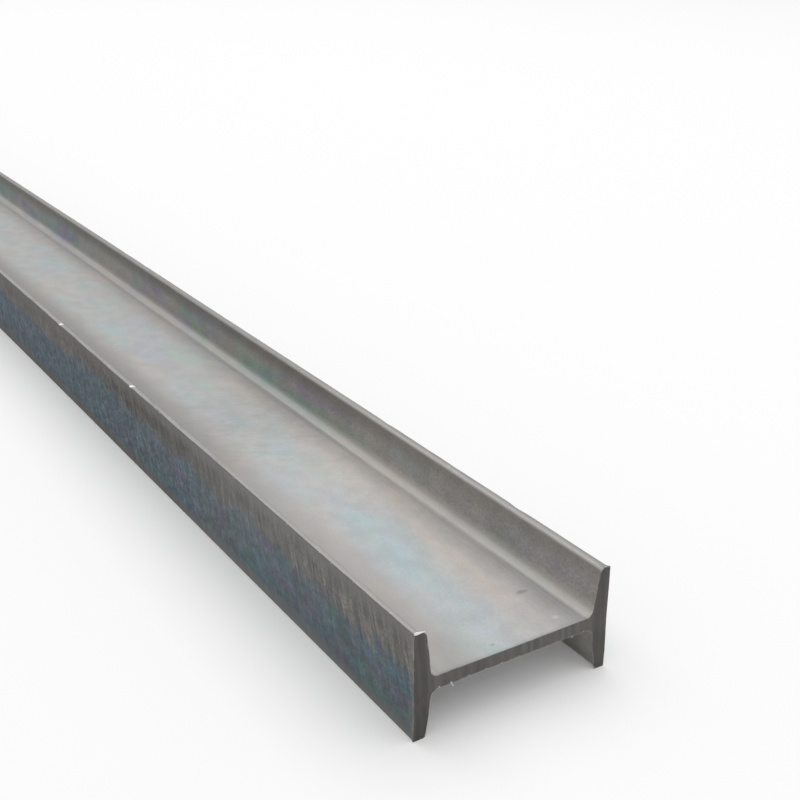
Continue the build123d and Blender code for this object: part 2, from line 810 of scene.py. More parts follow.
@dataclass(frozen=True)
class Burr:
    """A sliver of steel that the saw left on the rim of a cut.

    Attributes:
        end: The end that it hangs on.
        across: Where it sits along +Y.
        up: Where it sits, above or below the middle of the web.
        aim: Which way it points, across and up.
        length: How far it reaches from the rim.
        width: Its width at the root.
        curl: How far its tip bends along the beam, as a share of its length.
    """

    end: BeamEnd
    across: float
    up: float
    aim: tuple[float, float]
    length: float
    width: float
    curl: float = 0.5


@dataclass
class SawBurrs:
    """All the burrs of both sawn ends, as one mesh of small tapered slivers.

    Attributes:
        section: The section that was sawn.
        half_length: Half of the beam's length.
        rest_height: Height of the middle of the web above the floor.
        seed: Seed of the small burrs.
        small: How many small burrs are tried at each end.
        small_length: Least and greatest length of a small burr.
        small_width: Its least and greatest width.
        small_lean: How far it leans to either side at most.
        apart: How far the small burrs keep from the large ones.
        lip_below: How far the saw's lip hangs below the web.
        lip_above: How far it stands above the flanges.
        sunk: How far a sliver's root is sunk into the rim.
        flatness: A sliver's thickness as a share of its width.
        narrowing: Share of its width that it loses up to its tip.
        bluntness: How late along its length it narrows.
        sides: Sides of a sliver's section.
        rings: Rings along a sliver.
        name: Name of the piece.
    """

    section: RolledSection
    half_length: float
    rest_height: float
    seed: int = 6
    small: int = 26
    small_length: tuple[float, float] = (0.4 * MM, 1.1 * MM)
    small_width: tuple[float, float] = (1.0 * MM, 3.5 * MM)
    small_lean: float = 0.8
    apart: float = 9.0 * MM
    lip_below: float = 1.6 * MM
    lip_above: float = 0.5 * MM
    sunk: float = 0.6 * MM
    flatness: float = 0.35
    narrowing: float = 0.92
    bluntness: float = 1.4
    sides: int = 8
    rings: int = 7
    name: str = "saw_burrs"

    def burrs(self) -> list[Burr]:
        """Lists the burrs: the few large ones of each end, and small ones along the lower rims.

        Returns:
            The burrs of both ends.
        """
        rng = np.random.default_rng(self.seed)
        section = self.section
        below = -section.half_web - self.lip_below
        top = section.half_flange + self.lip_above
        tip = section.half_depth - 4.0 * MM
        found = []
        for end in BeamEnd:
            found += [
                Burr(end, -64 * MM, below, (0.5, -1.0), 4.6 * MM, 2.4 * MM, 0.5),
                Burr(end, 63 * MM, below, (-0.7, -1.0), 3.0 * MM, 2.0 * MM, 0.4),
                Burr(end, -tip - 3.0 * MM, top, (1.0, 0.12), 9.5 * MM, 3.4 * MM, 0.15),
                Burr(end, -tip - 2.5 * MM, top, (-0.9, 0.1), 2.2 * MM, 2.0 * MM, 0.6),
                Burr(end, tip, top, (-0.6, 0.4), 1.6 * MM, 2.4 * MM, 0.7),
            ]
            large = [burr.across for burr in found if burr.end is end]
            for _ in range(self.small):
                across = rng.uniform(-section.web_flat, section.web_flat)
                length = rng.uniform(*self.small_length)
                lean = rng.uniform(-self.small_lean, self.small_lean)
                small = Burr(end, across, below, (lean, -1.0), length, rng.uniform(*self.small_width))
                if min(abs(across - other) for other in large) > self.apart:
                    found.append(small)
        return found

    def sliver(self, burr: Burr) -> tuple[np.ndarray, list[tuple[int, ...]]]:
        """Makes one burr: a flat root that curls and tapers to a point.

        Args:
            burr: The burr to make.

        Returns:
            Its points and its faces, closed at both ends.
        """
        aim = np.array([0.0, *burr.aim]) / np.hypot(*burr.aim)
        outward = np.array([float(burr.end.value), 0.0, 0.0])
        sideways = np.cross(outward, aim)
        root = np.array([burr.end.value * self.half_length, burr.across, burr.up + self.rest_height])
        rows = []
        for share in np.linspace(0, 1, self.rings):
            curl = outward * burr.curl * burr.length * share**2
            middle = root + aim * (share * burr.length - self.sunk) + curl
            half = burr.width / 2 * (1 - self.narrowing * share**self.bluntness)
            angles = np.linspace(0, 2 * math.pi, self.sides, endpoint=False)
            flat = np.cos(angles)[:, None] * sideways * half
            thick = np.sin(angles)[:, None] * outward * half * self.flatness
            rows.append(middle - outward * half * self.flatness + flat + thick)
        faces = []
        for i in range(self.rings - 1):
            for j in range(self.sides):
                low, high, step = i * self.sides, (i + 1) * self.sides, (j + 1) % self.sides
                faces.append((low + j, low + step, high + step, high + j))
        faces.append(tuple(range(self.sides))[::-1])
        faces.append(tuple(range((self.rings - 1) * self.sides, self.rings * self.sides)))
        return np.concatenate(rows), faces

    def build(self) -> bpy.types.Object:
        """Joins all the slivers into one piece.

        Returns:
            The burrs, riding on the beam's body.
        """
        points, faces, total = [], [], 0
        for burr in self.burrs():
            made, around = self.sliver(burr)
            points.append(made)
            faces += [tuple(total + i for i in face) for face in around]
            total += len(made)
        mesh = bpy.data.meshes.new(self.name)
        mesh.from_pydata(np.concatenate(points).tolist(), [], faces)
        mesh.polygons.foreach_set("use_smooth", np.ones(len(mesh.polygons), bool))
        mesh.update()
        burrs = put_in_scene(self.name, mesh)
        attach(burrs, BODY)
        return burrs

    def dress(self, burrs: bpy.types.Object, steel: bpy.types.Material) -> None:
        """Puts the bare steel finish on the burrs."""
        burrs.data.materials.append(steel)


Socket = bpy.types.NodeSocket
Feed = bpy.types.NodeSocket | float | tuple[float, ...]
Feeds = dict[str | int, Feed]


class Operation(Enum):
    """The sums that a bench does with numbers."""

    ADD = "ADD"
    SUBTRACT = "SUBTRACT"
    MULTIPLY = "MULTIPLY"
    DIVIDE = "DIVIDE"
    MAXIMUM = "MAXIMUM"
    ABSOLUTE = "ABSOLUTE"


@dataclass
class NodeBench:
    """Adds nodes to one shader tree and joins them up.

    Attributes:
        tree: The tree that is worked on.
    """

    tree: bpy.types.NodeTree

    def add(self, kind: str, feeds: Feeds | None = None, **settings: object) -> bpy.types.Node:
        """Adds a node.

        Args:
            kind: The node's type.
            feeds: What goes into its sockets, by name or number.
            **settings: Its other properties.

        Returns:
            The node.
        """
        node = self.tree.nodes.new(kind)
        for name, value in settings.items():
            setattr(node, name, value)
        self.fill(node, feeds or {})
        return node

    def fill(self, node: bpy.types.Node, feeds: Feeds) -> None:
        """Links a node's sockets to other ones, or sets them to constants.

        Args:
            node: The node to fill.
            feeds: An output socket, a number, a vector or a colour for each, by name or number.
        """
        for key, value in feeds.items():
            if isinstance(value, Socket):
                self.tree.links.new(value, node.inputs[key])
            else:
                node.inputs[key].default_value = value

    def math(self, operation: Operation, first: Feed, second: Feed = 0.0) -> Socket:
        """Adds a Math node and returns its result."""
        return self.add("ShaderNodeMath", {0: first, 1: second}, operation=operation.value).outputs[0]

    def plus(self, first: Feed, second: Feed) -> Socket:
        """Adds two numbers."""
        return self.math(Operation.ADD, first, second)

    def minus(self, first: Feed, second: Feed) -> Socket:
        """Takes the second number from the first."""
        return self.math(Operation.SUBTRACT, first, second)

    def times(self, first: Feed, second: Feed) -> Socket:
        """Multiplies two numbers."""
        return self.math(Operation.MULTIPLY, first, second)

    def over(self, first: Feed, second: Feed) -> Socket:
        """Divides the first number by the second."""
        return self.math(Operation.DIVIDE, first, second)

    def most(self, first: Feed, second: Feed) -> Socket:
        """Gives the greater of two numbers."""
        return self.math(Operation.MAXIMUM, first, second)

    def unsigned(self, value: Feed) -> Socket:
        """Drops a number's sign."""
        return self.math(Operation.ABSOLUTE, value)

    def span(self, value: Feed, low: Feed, high: Feed, top: Feed = 1.0) -> Socket:
        """Rises smoothly from 0 to top as a value goes from low to high.

        Args:
            value: The value.
            low: Where the rise starts. It may lie above high, and then the result falls.
            high: Where the rise ends.
            top: The result from there on.

        Returns:
            The result's socket.
        """
        feeds = {0: value, 1: low, 2: high, 3: 0.0, 4: top}
        return self.add("ShaderNodeMapRange", feeds, interpolation_type="SMOOTHSTEP").outputs[0]

    def ridge(self, value: Feed, middle: float, half_width: float) -> Socket:
        """Gives 1 where a value is at middle, falling smoothly to 0 at half_width from it."""
        return self.span(self.unsigned(self.minus(value, middle)), half_width, 0.0)

    def level(self, share: Feed, first: Feed, second: Feed) -> Socket:
        """Mixes two numbers."""
        return self.add("ShaderNodeMix", {0: share, 2: first, 3: second}, data_type="FLOAT").outputs[0]

    def noise(self, place: Feed, scale: Feed = 1.0, detail: float = 2.0, rough: float = 0.5,
              warp: float = 0.0) -> Socket:
        """Adds cloudy noise, about 0.5 on the whole.

        Args:
            place: Where it is read.
            scale: Clouds for each unit of place.
            detail: How many finer layers are added.
            rough: How strong those layers are.
            warp: How far the clouds are bent.

        Returns:
            The noise's value.
        """
        feeds = {"Vector": place, "Scale": scale, "Detail": detail, "Roughness": rough, "Distortion": warp}
        return self.add("ShaderNodeTexNoise", feeds).outputs[0]

    def scores(self, line: Feed, scale: float) -> Socket:
        """Adds noise that changes along one line only, such as the scores of a saw."""
        feeds = {"W": line, "Scale": scale, "Detail": 3.0}
        return self.add("ShaderNodeTexNoise", feeds, noise_dimensions="1D").outputs[0]

    def drift(self, noise: Feed, reach: float) -> Socket:
        """Turns noise into a departure to both sides of 0."""
        return self.times(self.minus(noise, 0.5), reach)

    def blend(self, share: Feed, first: Feed, second: Feed) -> Socket:
        """Mixes two colours."""
        return self.add("ShaderNodeMix", {0: share, 6: first, 7: second}, data_type="RGBA").outputs[2]

    def coated(self, share: Feed, colour: Feed, coat: Colour) -> Socket:
        """Lays a coat, in the colour that a picture would show, over a colour."""
        return self.blend(share, colour, linear(coat))

    def toned(self, colour: Feed, factor: Feed) -> Socket:
        """Makes a colour lighter or darker by a factor."""
        feeds = {0: 1.0, 6: colour, 7: factor}
        return self.add("ShaderNodeMix", feeds, data_type="RGBA", blend_type="MULTIPLY").outputs[2]

    def varied(self, colour: Feed, tone: Feed, low: Feed, high: Feed) -> Socket:
        """Makes a colour lighter or darker by a factor that goes from low to high with a tone."""
        return self.toned(colour, self.level(tone, low, high))

    def eased(self, colour: Feed, tone: Feed, share: Feed, first: tuple[float, float],
              second: tuple[float, float]) -> Socket:
        """Varies a colour with a tone, between two factors that go from one pair to another.

        Args:
            colour: The colour.
            tone: What it varies with, from 0 to 1.
            share: How far the factors have gone from the first pair to the second.
            first: The factors for the lowest and the highest tone, at a share of 0.
            second: The same at a share of 1.

        Returns:
            The varied colour.
        """
        low = self.level(share, first[0], second[0])
        high = self.level(share, first[1], second[1])
        return self.varied(colour, tone, low, high)

    def mask(self, kind: Mask) -> Socket:
        """Reads one of the mesh's masks."""
        return self.add("ShaderNodeAttribute", attribute_name=kind.value).outputs["Fac"]

    def place(self) -> Socket:
        """Reads the place on the object."""
        return self.add("ShaderNodeTexCoord").outputs["Object"]

    def split(self, place: Feed) -> tuple[Socket, Socket, Socket]:
        """Splits a place into its parts along +X, +Y and +Z."""
        return tuple(self.add("ShaderNodeSeparateXYZ", {0: place}).outputs)

    def moved(self, place: Feed, way: Point) -> Socket:
        """Moves a place."""
        return self.add("ShaderNodeVectorMath", {0: place, 1: way}).outputs[0]

    def length(self, place: Feed) -> Socket:
        """Measures how far a place is from the origin."""
        return self.add("ShaderNodeVectorMath", {0: place}, operation="LENGTH").outputs["Value"]

    def sized(self, place: Feed, size: Point, turn: Point = (0.0, 0.0, 0.0),
              shift: Point = (0.0, 0.0, 0.0)) -> Socket:
        """Turns a place, then counts it in units of a size, so that a pattern gets that grain.

        Args:
            place: The place.
            size: The grain's length, width and height, in metres.
            turn: How far the grain is turned about each axis.
            shift: Where the pattern starts.

        Returns:
            The place in the pattern.
        """
        feeds = {"Vector": place, "Location": shift, "Rotation": turn, "Scale": size}
        return self.add("ShaderNodeMapping", feeds, vector_type="TEXTURE").outputs[0]

    def bump(self, height: Feed, strength: float, distance: float) -> Socket:
        """Gives the normals of a fine relief."""
        feeds = {"Strength": strength, "Distance": distance, "Height": height}
        return self.add("ShaderNodeBump", feeds).outputs[0]

    def group(self, tree: bpy.types.NodeTree, feeds: Feeds) -> bpy.types.Node:
        """Places a node group with its own values."""
        return self.add("ShaderNodeGroup", feeds, node_tree=tree)


@dataclass(frozen=True)
class Film:
    """One face's oxide film, with its colours as a picture would show them in plain light.

    Attributes:
        patch: Length, width and height of its patches.
        ground: The colour between the patches.
        warm: The pinkish beige patches.
        cool: The blue-green patches.
        violet: The violet patches.
        green: The small green patches.
    """

    patch: Point
    ground: Colour
    warm: Colour
    cool: Colour
    violet: Colour
    green: Colour

    def feeds(self) -> Feeds:
        """Gives the colours as the film group takes them."""
        return {
            "Ground": linear(self.ground),
            "Warm": linear(self.warm),
            "Cool": linear(self.cool),
            "Violet": linear(self.violet),
            "Green": linear(self.green),
        }


class SocketKind(Enum):
    """The kinds of socket that the node groups have."""

    VALUE = "NodeSocketFloat"
    COLOUR = "NodeSocketColor"
    VECTOR = "NodeSocketVector"


class Effects:
    """The node groups that the finishes share, each built once."""

    def __init__(self) -> None:
        """Builds all the groups."""
        self._film = self._build_film()
        self._grain = self._build_grain()
        self._flecks = self._build_flecks()
        self._wear = self._build_wear()

    def film(self, bench: NodeBench, place: Feed, film: Film, warmth: Feed, strength: Feed) -> Socket:
        """Places the oxide film.

        Args:
            bench: Bench of the material.
            place: The place on the object.
            film: The film's patches and colours.
            warmth: How strong its warm patches are.
            strength: How strong the other patches are.

        Returns:
            The film's colour.
        """
        feeds = {"Place": bench.sized(place, film.patch), "Warmth": warmth, "Strength": strength}
        return bench.group(self._film, feeds | film.feeds()).outputs["Colour"]

    def grain(self, bench: NodeBench, place: Feed, size: Point) -> tuple[Socket, Socket, Socket]:
        """Places the grain of a surface.

        Args:
            bench: Bench of the material.
            place: The place on the object.
            size: Length, width and height of the fine grains.

        Returns:
            The tones of the fine specks and of the broad mottling, and the height.
        """
        return tuple(bench.group(self._grain, {"Place": bench.sized(place, size)}).outputs)

    def flecks(self, bench: NodeBench, place: Feed, size: Point, amount: Feed) -> Socket:
        """Places ragged flecks.

        Args:
            bench: Bench of the material.
            place: The place on the object.
            size: Length, width and height of the flecks.
            amount: How many there are, from 0 to 1.

        Returns:
            The flecks' mask.
        """
        feeds = {"Place": bench.sized(place, size), "Amount": amount}
        return bench.group(self._flecks, feeds).outputs["Mask"]

    def wear(self, bench: NodeBench, edge: Feed, breaks: Feed, amount: Feed) -> Socket:
        """Places the wear along an edge.

        Args:
            bench: Bench of the material.
            edge: The edge's mask.
            breaks: The place, counted in breaks of the worn line.
            amount: How much of the edge is worn.

        Returns:
            The mask of what is worn.
        """
        feeds = {"Edge": edge, "Place": breaks, "Amount": amount}
        return bench.group(self._wear, feeds).outputs["Mask"]

    def _start(self, name: str, inputs: dict[str, SocketKind],
               outputs: dict[str, SocketKind]) -> tuple[NodeBench, bpy.types.Node, bpy.types.Node]:
        """Starts a group with its sockets.

        Args:
            name: The group's name.
            inputs: Names and kinds of what goes in.
            outputs: Names and kinds of what comes out.

        Returns:
            A bench for the group's tree, the node with its inputs and the node for its outputs.
        """
        tree = bpy.data.node_groups.new(name, "ShaderNodeTree")
        for in_out, sockets in (("INPUT", inputs), ("OUTPUT", outputs)):
            for socket, kind in sockets.items():
                tree.interface.new_socket(socket, in_out=in_out, socket_type=kind.value)
        bench = NodeBench(tree)
        return bench, bench.add("NodeGroupInput"), bench.add("NodeGroupOutput")

    def _build_film(self) -> bpy.types.NodeTree:
        """Builds the soft coloured patches that the thin oxide film shows.

        Returns:
            The group, from a place in patches, two strengths and five colours to a colour.
        """
        tints = {"Warm": "Warmth", "Cool": "Strength", "Violet": "Strength", "Green": "Strength"}
        inputs = {"Place": SocketKind.VECTOR, "Warmth": SocketKind.VALUE, "Strength": SocketKind.VALUE}
        inputs |= {name: SocketKind.COLOUR for name in ("Ground", *tints)}
        bench, given, result = self._start("temper_film", inputs, {"Colour": SocketKind.COLOUR})
        colour = given.outputs["Ground"]
        for i, (tint, strength) in enumerate(tints.items()):
            apart = bench.moved(given.outputs["Place"], (7.3 * i, 3.1 * i, 5.7 * i))
            cloud = bench.noise(apart, 0.85 + 0.2 * i, detail=3.0, rough=0.55, warp=0.6)
            share = bench.span(cloud, 0.40 + 0.03 * i, 0.68 + 0.03 * i, given.outputs[strength])
            colour = bench.blend(share, colour, given.outputs[tint])
        bench.fill(result, {"Colour": colour})
        return bench.tree

    def _build_grain(self) -> bpy.types.NodeTree:
        """Builds the grain of a scaled surface, in fine specks and in broader mottling.

        Returns:
            The group, from a place in grains to two tones about 0.5 and a height.
        """
        inputs = {"Place": SocketKind.VECTOR}
        outputs = {"Fine": SocketKind.VALUE, "Broad": SocketKind.VALUE, "Height": SocketKind.VALUE}
        bench, given, result = self._start("mill_grain", inputs, outputs)
        fine = bench.noise(given.outputs["Place"], 1.0, detail=4.0, rough=0.7)
        broad = bench.noise(given.outputs["Place"], 0.11, detail=4.0, rough=0.6)
        specks = bench.span(fine, 0.28, 0.72)
        mottling = bench.span(broad, 0.30, 0.70)
        bench.fill(result, {"Fine": specks, "Broad": mottling, "Height": fine})
        return bench.tree

    def _build_flecks(self) -> bpy.types.NodeTree:
        """Builds ragged flecks, such as those where scale has flaked off.

        Returns:
            The group, from a place in flecks and an amount to a mask.
        """
        inputs = {"Place": SocketKind.VECTOR, "Amount": SocketKind.VALUE}
        bench, given, result = self._start("scale_flecks", inputs, {"Mask": SocketKind.VALUE})
        cloud = bench.noise(given.outputs["Place"], 1.0, detail=4.0, rough=0.62)
        start = bench.minus(0.76, bench.times(given.outputs["Amount"], 0.22))
        bench.fill(result, {"Mask": bench.span(cloud, start, bench.plus(start, 0.07))})
        return bench.tree

    def _build_wear(self) -> bpy.types.NodeTree:
        """Builds the broken line of bare metal along edges.

        Returns:
            The group, from an edge mask, a place in breaks and an amount to a mask.
        """
        inputs = {"Edge": SocketKind.VALUE, "Place": SocketKind.VECTOR, "Amount": SocketKind.VALUE}
        bench, given, result = self._start("rim_wear", inputs, {"Mask": SocketKind.VALUE})
        broken = bench.noise(given.outputs["Place"], 1.0, detail=4.0, rough=0.6)
        needed = bench.minus(1.1, given.outputs["Amount"])
        both = bench.plus(given.outputs["Edge"], bench.minus(broken, 0.5))
        bench.fill(result, {"Mask": bench.span(both, needed, bench.plus(needed, 0.3))})
        return bench.tree


def blank_material(name: str) -> tuple[bpy.types.Material, NodeBench, bpy.types.Node]:
    """Starts a material with nothing but its main shader.

    Args:
        name: The material's name.

    Returns:
        The material, a bench for its tree and its shader node.
    """
    material = bpy.data.materials.new(name)
    material.use_nodes = True
    material.node_tree.nodes.clear()
    bench = NodeBench(material.node_tree)
    shader = bench.add("ShaderNodeBsdfPrincipled")
    bench.add("ShaderNodeOutputMaterial", {"Surface": shader.outputs[0]})
    return material, bench, shader


@dataclass(frozen=True)
class Mark:
    """A small mark on the web's upper face.

    Attributes:
        along: How far it is from the near end.
        across: Its place along +Y.
        length: Half of its size along the beam.
        width: Half of its size across it.
        colour: Its colour.
    """

    along: float
    across: float
    length: float
    width: float
    colour: Colour


@dataclass(frozen=True)
class Cloud:
    """A cloudy pattern on the rolled faces.

    Attributes:
        size: Length, width and height of its clouds.
        detail: How many finer layers it has.
        rough: How strong those layers are.
        warp: How far the clouds are bent.
        turn: How far they are turned about each axis.
    """

    size: Point
    detail: float = 2.0
    rough: float = 0.5
    warp: float = 0.0
    turn: Point = (0.0, 0.0, 0.0)


@dataclass(frozen=True)
class Spot:
    """What the finish of a rolled face is worked out from.

    Attributes:
        bench: Bench of the material.
        effects: The shared node groups.
        place: The place on the beam.
        along: How far it is from the near end.
        across: Its part along +Y.
        up: Its part along +Z, from the middle of the web.
        fine: Fine grain there, about 0.5.
        broad: Broad mottling there, about 0.5.
    """

    bench: NodeBench
    effects: Effects
    place: Feed
    along: Feed
    across: Feed
    up: Feed
    fine: Feed
    broad: Feed

    def stretch(self, start: float, end: float) -> Socket:
        """Rises from 0 at one distance from the near end to 1 at another, which may be the smaller."""
        return self.bench.span(self.along, start, end)

    def around(self, middle: float, half_width: float) -> Socket:
        """Gives 1 at a distance from the near end, falling to 0 at half_width to both sides."""
        return self.bench.ridge(self.along, middle, half_width)

    def cloud(self, cloud: Cloud) -> Socket:
        """Reads a cloudy pattern, about 0.5 on the whole."""
        place = self.bench.sized(self.place, cloud.size, cloud.turn)
        return self.bench.noise(place, 1.0, cloud.detail, cloud.rough, cloud.warp)

    def film(self, film: Film, warmth: Feed, strength: Feed) -> Socket:
        """Gives the colour of a film, with the strengths of its warm patches and of the others."""
        return self.effects.film(self.bench, self.place, film, warmth, strength)

    def flecks(self, size: Point, amount: Feed) -> Socket:
        """Gives the mask of flecks of a size."""
        return self.effects.flecks(self.bench, self.place, size, amount)


@dataclass(frozen=True)
class MillScale:
    """The finish of the rolled faces: satin grey scale with a thin iridescent film.

    Attributes:
        section: The section, for the places of its faces.
        near_end: Where the near end is along +X.
        rest_height: Height of the middle of the web above the floor.
        scrapes: Where the left upper edge is scraped bare, from the near end.
        scrape_reach: How far a scrape reaches to both sides.
        marks: Small marks on the web by the near end.
        web: Film on the web.
        inner: Film on the inner faces of the flanges.
        outer: Film on the outer faces of the flanges.
        slate: Colour of the outer film away from the near end.
        band: Brown-grey of the band along the flanges' outer edges.
        band_dark: Colour of the darker strokes in that band.
        fleck: Colour of the flecks where scale is gone.
        shade: Colour of the painted shade on the web's sides and of the painted shadow strips beside the
            roots.
        stroke_dark: Colour of the dark feathered strokes on the web.
        stroke_light: Colour of the light ones.
        root_highlight: Colour of the painted highlight along a root, where its rounding catches the light.
        edge: Colour of the flange edges.
        rubbed: Colour of the edges where they are rubbed.
        toe: Colour of the painted highlight along the toes.
        chip: Colour of the small bare chips and scrapes on the edges, near white as a painted glint.
        grain: Size of the fine grain.
        web_fleck: Size of the flecks on the web.
        inner_fleck: Size of those on the inner faces.
        outer_fleck: Size of those on the outer faces.
        rub: Size of the breaks in a rubbed edge.
        chip_break: Size of the breaks between the chips.
        chip_start: Where the pattern of the chips starts.
        sway: How the web's cool middle wanders.
        strokes: Feathered strokes on the web.
        waver: How the lines along the roots waver.
        threads: Fine lines along the web's sides.
        clusters: Where the flecks of the inner faces gather.
        hairs: Fine strokes of the band's fringe.
        tufts: Broader strokes of it.
        swing: How the band's width changes along the beam.
        dapples: Dapples of the outer film.
    """

    section: RolledSection
    near_end: float
    rest_height: float
    scrapes: tuple[float, ...] = (0.615, 0.875)
    scrape_reach: float = 7 * MM
    marks: tuple[Mark, ...] = (
        Mark(0.067, 0.0584, 3.4 * MM, 7.5 * MM, (0.457, 0.443, 0.428)),
        Mark(0.013, -0.0132, 2.2 * MM, 2.2 * MM, (0.495, 0.486, 0.486)),
        Mark(0.018, 0.0585, 3.0 * MM, 4.2 * MM, (0.821, 0.816, 0.806)),
    )
    web: Film = Film(
        patch=(0.13, 0.058, 0.058),
        ground=(0.692, 0.680, 0.671),
        warm=(0.726, 0.685, 0.655),
        cool=(0.641, 0.704, 0.721),
        violet=(0.673, 0.671, 0.710),
        green=(0.643, 0.717, 0.675),
    )
    inner: Film = Film(
        patch=(0.17, 0.06, 0.06),
        ground=(0.681, 0.667, 0.648),
        warm=(0.695, 0.663, 0.628),
        cool=(0.536, 0.649, 0.664),
        violet=(0.598, 0.555, 0.670),
        green=(0.571, 0.681, 0.587),
    )
    outer: Film = Film(
        patch=(0.056, 0.036, 0.030),
        ground=(0.302, 0.360, 0.390),
        warm=(0.370, 0.368, 0.364),
        cool=(0.238, 0.370, 0.418),
        violet=(0.344, 0.318, 0.408),
        green=(0.260, 0.390, 0.350),
    )
    slate: Colour = (0.322, 0.360, 0.392)
    band: Colour = (0.430, 0.416, 0.400)
    band_dark: Colour = (0.352, 0.344, 0.334)
    fleck: Colour = (0.300, 0.290, 0.282)
    shade: Colour = (0.560, 0.552, 0.543)
    stroke_dark: Colour = (0.553, 0.553, 0.553)
    stroke_light: Colour = (0.763, 0.758, 0.749)
    root_highlight: Colour = (0.596, 0.587, 0.577)
    edge: Colour = (0.430, 0.421, 0.411)
    rubbed: Colour = (0.622, 0.613, 0.602)
    toe: Colour = (0.735, 0.726, 0.714)
    chip: Colour = (0.970, 0.965, 0.955)
    grain: Point = (2.8 * MM, 2.2 * MM, 2.2 * MM)
    web_fleck: Point = (9 * MM, 6 * MM, 6 * MM)
    inner_fleck: Point = (4.2 * MM, 3 * MM, 3 * MM)
    outer_fleck: Point = (7 * MM, 5 * MM, 5 * MM)
    rub: Point = (45 * MM, 6 * MM, 6 * MM)
    chip_break: Point = (5 * MM, 2.5 * MM, 2.5 * MM)
    chip_start: Point = (0.7, 0.3, 0.1)
    sway: Cloud = Cloud((0.35, 5.0, 5.0))
    strokes: Cloud = Cloud((0.026, 0.0065, 0.05), 3.0, 0.55, 1.4, (0.0, 0.0, 1.1))
    waver: Cloud = Cloud((0.09, 0.02, 0.02), 4.0, 0.6)
    threads: Cloud = Cloud((0.22, 2.4 * MM, 2.4 * MM), 3.0, 0.6)
    clusters: Cloud = Cloud((0.11, 0.05, 0.05))
    hairs: Cloud = Cloud((4.5 * MM, 0.06, 0.030), 5.0, 0.7, 0.3, (0.0, -0.30, 0.0))
    tufts: Cloud = Cloud((22 * MM, 0.06, 0.045), 3.0, 0.6, 0.4, (0.0, -0.30, 0.0))
    swing: Cloud = Cloud((0.16, 0.3, 0.3))
    dapples: Cloud = Cloud((11 * MM, 9 * MM, 8 * MM), 3.0, 0.6, 0.5)

    def make(self, effects: Effects) -> bpy.types.Material:
        """Builds the material.

        Args:
            effects: The shared node groups.

        Returns:
            The material.
        """
        material, bench, shader = blank_material("mill_scale")
        place = bench.place()
        x, across, z = bench.split(place)
        along = bench.minus(self.near_end, x)
        up = bench.minus(z, self.rest_height)
        fine, broad, height = effects.grain(bench, place, self.grain)
        spot = Spot(bench, effects, place, along, across, up, fine, broad)
        inner, flecks = self._inner_colour(spot)
        on_outer = bench.mask(Mask.OUTER)
        colour = bench.blend(bench.mask(Mask.WEB), inner, self._web_colour(spot))
        colour = bench.blend(on_outer, colour, self._outer_colour(spot))
        colour, bare = self._edge_colour(spot, colour)
        dull = bench.times(on_outer, spot.stretch(0.28, 0.76))
        rough = bench.level(dull, bench.level(fine, 0.36, 0.50), 0.95)
        metal = bench.level(dull, 0.45, 0.05)
        bench.fill(shader, {
            "Base Color": colour,
            "Roughness": bench.level(bare, rough, 0.28),
            "Metallic": bench.level(bare, metal, 0.55),
            "Normal": bench.bump(bench.minus(height, bench.times(flecks, 0.4)), 0.25, 0.5 * MM),
        })
        return material

    def _web_colour(self, spot: Spot) -> Socket:
        """Colours the web: pale film, feathered strokes, painted shade towards its sides, small marks, and
        by the roots a painted shadow, a painted highlight and fine threads.

        Args:
            spot: The place that is coloured.

        Returns:
            The web's colour.
        """
        colour = self._web_film(spot)
        colour = self._web_strokes(spot, colour)
        colour = self._web_sides(spot, colour)
        colour = self._web_marks(spot, colour)
        return self._root_lines(spot, colour)

    def _web_film(self, spot: Spot) -> Socket:
        """Lays the web's film, cool along a middle that wanders, and wider away from the near end.

        Args:
            spot: The place that is coloured.

        Returns:
            The film's colour.
        """
        bench = spot.bench
        away = spot.stretch(0.20, 0.80)
        swayed = bench.plus(spot.across, bench.drift(spot.cloud(self.sway), 0.08))
        aside = bench.minus(swayed, bench.level(away, 2 * MM, 10 * MM))
        middle = bench.ridge(bench.times(aside, bench.level(away, 1.22, 0.90)), 0.0, 0.060)
        warmth = bench.level(middle, 0.90, 0.30)
        film = spot.film(self.web, warmth, bench.level(middle, 0.10, 0.95))
        cooled = bench.times(middle, bench.level(spot.stretch(0.15, 0.38), 0.46, 0.20))
        return bench.coated(cooled, film, self.web.cool)

    def _web_strokes(self, spot: Spot, colour: Feed) -> Socket:
        """Lays feathered strokes half a metre along the web, then the tones, grain and flecks of all of it.

        Args:
            spot: The place that is coloured.
            colour: The web's colour so far.

        Returns:
            The colour with them.
        """
        bench = spot.bench
        strokes = spot.cloud(self.strokes)
        where = spot.around(0.52, 0.22)
        dark = bench.times(bench.span(strokes, 0.50, 0.36), where)
        light = bench.times(bench.span(strokes, 0.52, 0.66), where)
        colour = bench.coated(bench.times(dark, 0.16), colour, self.stroke_dark)
        colour = bench.coated(bench.times(light, 0.25), colour, self.stroke_light)
        colour = bench.varied(colour, spot.around(0.36, 0.14), 1.0, 1.05)
        dip = bench.level(spot.around(0.56, 0.14), 0.96, 0.91)
        colour = bench.varied(colour, spot.stretch(0.42, 0.54), 1.0, dip)
        colour = bench.varied(colour, spot.fine, 0.93, 1.07)
        colour = bench.varied(colour, spot.broad, 0.94, 1.06)
        flecks = spot.flecks(self.web_fleck, 0.18)
        return bench.coated(bench.times(flecks, 0.4), colour, self.fleck)

